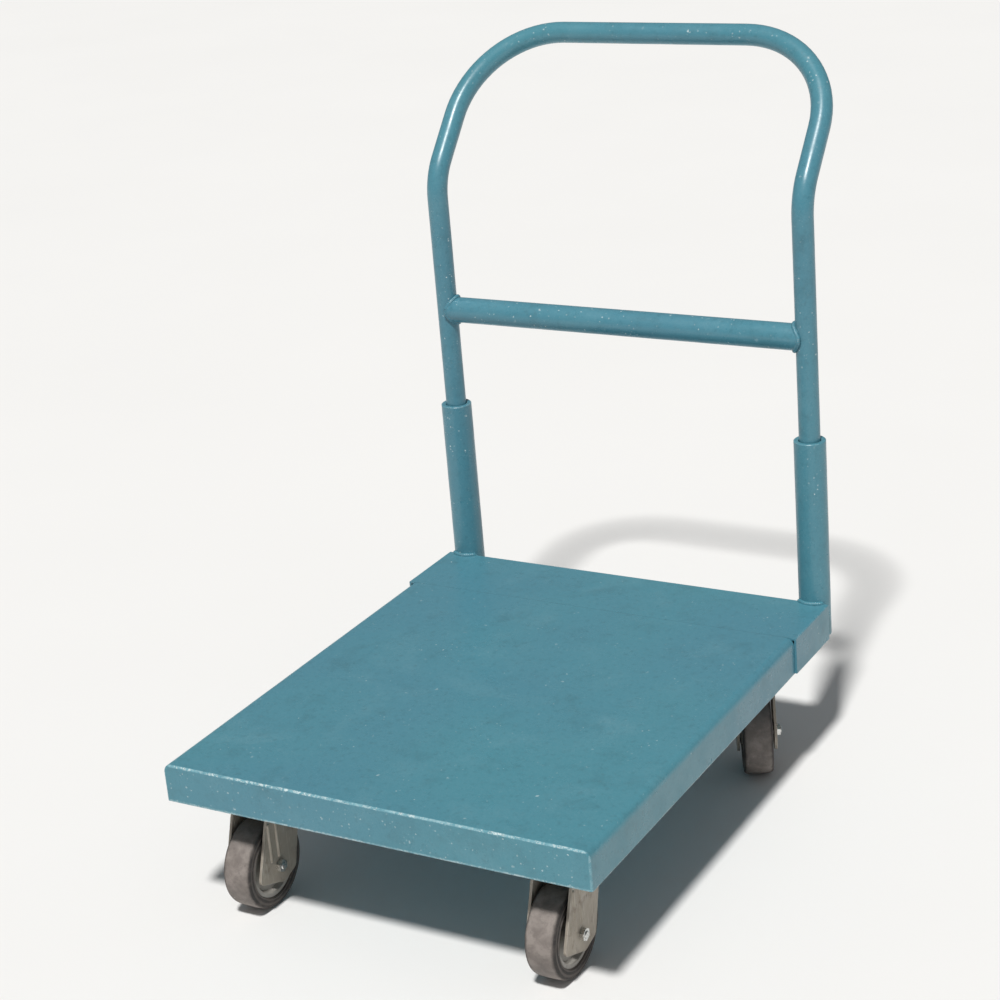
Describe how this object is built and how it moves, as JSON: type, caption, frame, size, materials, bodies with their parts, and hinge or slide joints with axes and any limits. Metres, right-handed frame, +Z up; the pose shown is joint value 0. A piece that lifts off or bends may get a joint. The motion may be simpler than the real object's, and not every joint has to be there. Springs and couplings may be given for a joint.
{
  "type": "platform cart",
  "caption": "Small flat-bed platform cart with a lift-out bent-tube handle in sockets, rigid front casters and swivelling rear casters.",
  "frame": {"origin": "on the floor, under the middle of the whole cart", "axes": "+Z up, +Y towards the handle end, +X to the side"},
  "size_m": [0.5254, 0.7852, 0.849],
  "materials": {
    "deck_enamel": "worn satin blue-green enamel",
    "caster_steel": "dull grey-brown zinc-plated pressed steel",
    "bright_zinc": "bright zinc plate",
    "ball_steel": "polished",
    "bearing_bronze": "oily sintered bronze",
    "tyre_rubber": "dusty grey rubber",
    "wheel_grey": "light grey moulded core"
  },
  "bodies": {
    "deck": {"deck_pan": "deck_enamel", "rear_saddle": "deck_enamel", "front_cross_member": "deck_enamel", "rear_cross_member": "deck_enamel", "member_welds": "deck_enamel", "left_socket": "deck_enamel", "right_socket": "deck_enamel", "socket_caps": "deck_enamel", "socket_welds": "deck_enamel", "plate_bolts": "bright_zinc", "lock_washers": "bright_zinc", "weld_nuts": "bright_zinc", "front_left_plate": "caster_steel", "front_left_fork": "caster_steel", "front_left_axle_sleeve": "bright_zinc", "front_left_axle_bolt": "bright_zinc", "front_left_axle_nut": "bright_zinc", "rear_left_plate": "caster_steel", "rear_left_kingpin": "bright_zinc", "rear_left_race_cap": "caster_steel", "front_right_plate": "caster_steel", "front_right_fork": "caster_steel", "front_right_axle_sleeve": "bright_zinc", "front_right_axle_bolt": "bright_zinc", "front_right_axle_nut": "bright_zinc", "rear_right_plate": "caster_steel", "rear_right_kingpin": "bright_zinc", "rear_right_race_cap": "caster_steel"},
    "handle": {"handle_hoop": "deck_enamel", "handle_crossbar": "deck_enamel", "crossbar_welds": "deck_enamel"},
    "front_left_wheel": {"front_left_tyre": "tyre_rubber", "front_left_wheel_core": "wheel_grey", "front_left_wheel_bush": "bearing_bronze"},
    "rear_left_swivel": {"rear_left_fork": "caster_steel", "rear_left_race_balls": "ball_steel", "rear_left_axle_sleeve": "bright_zinc", "rear_left_axle_bolt": "bright_zinc", "rear_left_axle_nut": "bright_zinc"},
    "rear_left_wheel": {"rear_left_tyre": "tyre_rubber", "rear_left_wheel_core": "wheel_grey", "rear_left_wheel_bush": "bearing_bronze"},
    "front_right_wheel": {"front_right_tyre": "tyre_rubber", "front_right_wheel_core": "wheel_grey", "front_right_wheel_bush": "bearing_bronze"},
    "rear_right_swivel": {"rear_right_fork": "caster_steel", "rear_right_race_balls": "ball_steel", "rear_right_axle_sleeve": "bright_zinc", "rear_right_axle_bolt": "bright_zinc", "rear_right_axle_nut": "bright_zinc"},
    "rear_right_wheel": {"rear_right_tyre": "tyre_rubber", "rear_right_wheel_core": "wheel_grey", "rear_right_wheel_bush": "bearing_bronze"}
  },
  "joints": [
    {"name": "handle_lift", "type": "slide", "parent": "deck", "child": "handle", "axis": [0, 0, 1], "range_m": [0, 0.27]},
    {"name": "front_left_wheel_spin", "type": "hinge", "parent": "deck", "child": "front_left_wheel", "pos_m": [-0.188, -0.3341, 0.0508], "axis": [1, 0, 0], "continuous": true},
    {"name": "rear_left_swivel_turn", "type": "hinge", "parent": "deck", "child": "rear_left_swivel", "pos_m": [-0.185, 0.1749, 0.13], "axis": [0, 0, 1], "continuous": true},
    {"name": "rear_left_wheel_spin", "type": "hinge", "parent": "rear_left_swivel", "child": "rear_left_wheel", "pos_m": [-0.17653, 0.14094, 0.0508], "axis": [0.9703, 0.2419, 0], "continuous": true},
    {"name": "front_right_wheel_spin", "type": "hinge", "parent": "deck", "child": "front_right_wheel", "pos_m": [0.188, -0.3341, 0.0508], "axis": [1, 0, 0], "continuous": true},
    {"name": "rear_right_swivel_turn", "type": "hinge", "parent": "deck", "child": "rear_right_swivel", "pos_m": [0.185, 0.1749, 0.13], "axis": [0, 0, 1], "continuous": true},
    {"name": "rear_right_wheel_spin", "type": "hinge", "parent": "rear_right_swivel", "child": "rear_right_wheel", "pos_m": [0.20089, 0.14372, 0.0508], "axis": [0.891, 0.454, 0], "continuous": true}
  ]
}
